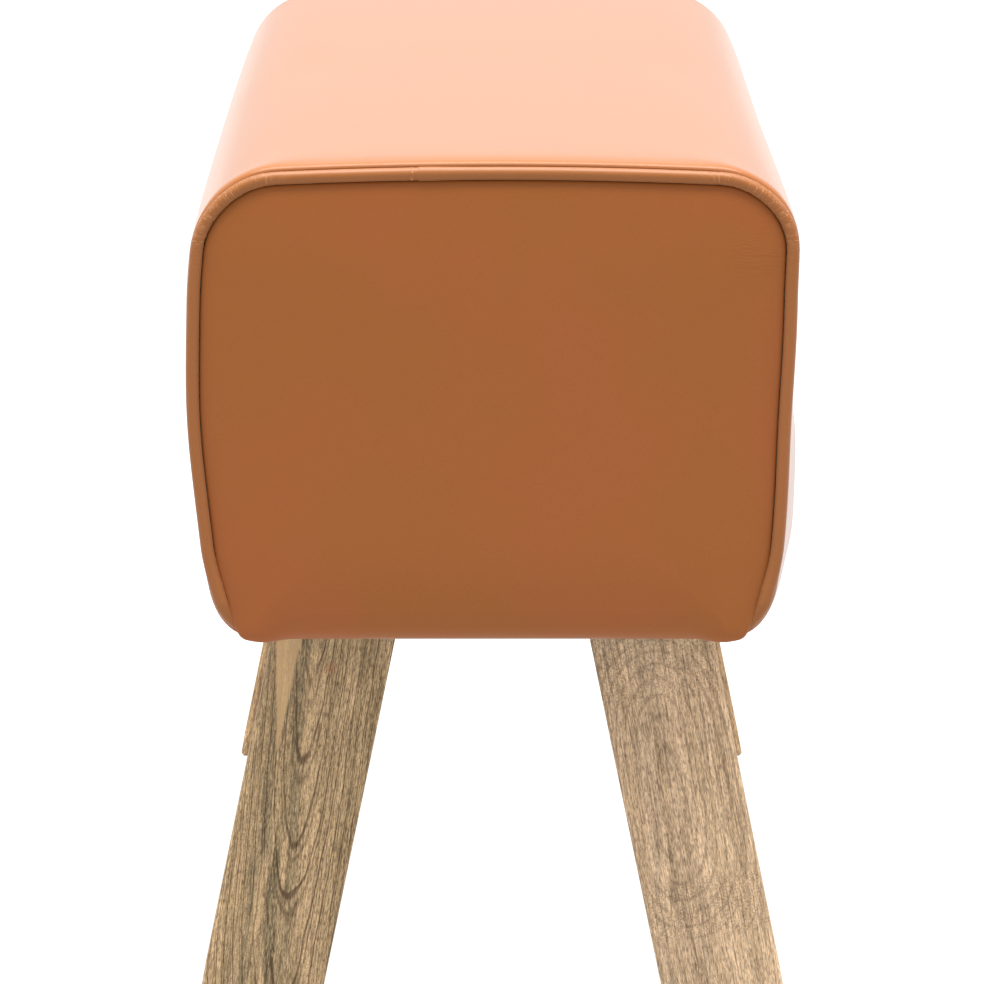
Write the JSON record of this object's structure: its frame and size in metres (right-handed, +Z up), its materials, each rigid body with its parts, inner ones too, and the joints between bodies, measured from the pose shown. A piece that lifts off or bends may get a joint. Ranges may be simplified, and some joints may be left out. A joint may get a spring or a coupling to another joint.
{
  "type": "leather bench",
  "caption": "Long padded leather bench in the shape of a vaulting horse, with corded piping round its end panels and splayed square wooden legs.",
  "frame": {"origin": "on the floor, under the middle of the bench", "axes": "+Y along the length towards the back end, +X across the width, +Z up; the pictured end faces -Y"},
  "size_m": [0.3232, 0.9, 0.482],
  "materials": {
    "cover_leather": "tan pigmented cowhide, semi-matt, fine pore grain",
    "piping_leather": "tan pigmented cowhide drawn tight over cord, semi-matt",
    "filler_cord": "twisted paper and cotton filler cord, matt",
    "foam": "open-cell polyurethane foam, matt",
    "plywood": "sawn plywood, unfinished",
    "block_wood": "sawn hardwood, unfinished",
    "mango_wood": "rough sanded mango wood with a dry matt finish",
    "zinc_steel": "bright zinc-plated steel",
    "staple_steel": "galvanised wire",
    "dust_cloth": "black spunbond cloth, matt",
    "nylon": "moulded nylon, matt"
  },
  "bodies": {
    "root": {"leather_cover": "cover_leather", "leather_end_front": "cover_leather", "leather_end_back": "cover_leather", "piping_front": "piping_leather", "piping_back": "piping_leather", "piping_cord_front": "filler_cord", "piping_cord_back": "filler_cord", "foam_top": "foam", "foam_side_left": "foam", "foam_side_right": "foam", "foam_end_front": "foam", "foam_end_back": "foam", "base_board": "plywood", "top_deck": "plywood", "side_board_left": "plywood", "side_board_right": "plywood", "end_board_front": "plywood", "end_board_back": "plywood", "rib_front": "plywood", "rib_back": "plywood", "corner_batten_front_left": "block_wood", "corner_batten_front_right": "block_wood", "corner_batten_back_left": "block_wood", "corner_batten_back_right": "block_wood", "leg_block_front_left": "block_wood", "leg_block_front_right": "block_wood", "leg_block_back_left": "block_wood", "leg_block_back_right": "block_wood", "leg_front_left": "mango_wood", "leg_front_right": "mango_wood", "leg_back_left": "mango_wood", "leg_back_right": "mango_wood", "hanger_bolts": "zinc_steel", "leg_washers": "zinc_steel", "leg_nuts": "zinc_steel", "deck_screws": "zinc_steel", "base_screws": "zinc_steel", "side_staples": "staple_steel", "end_staples": "staple_steel", "dust_cover": "dust_cloth", "glide_front_left": "nylon", "glide_front_right": "nylon", "glide_back_left": "nylon", "glide_back_right": "nylon"}
  },
  "joints": []
}
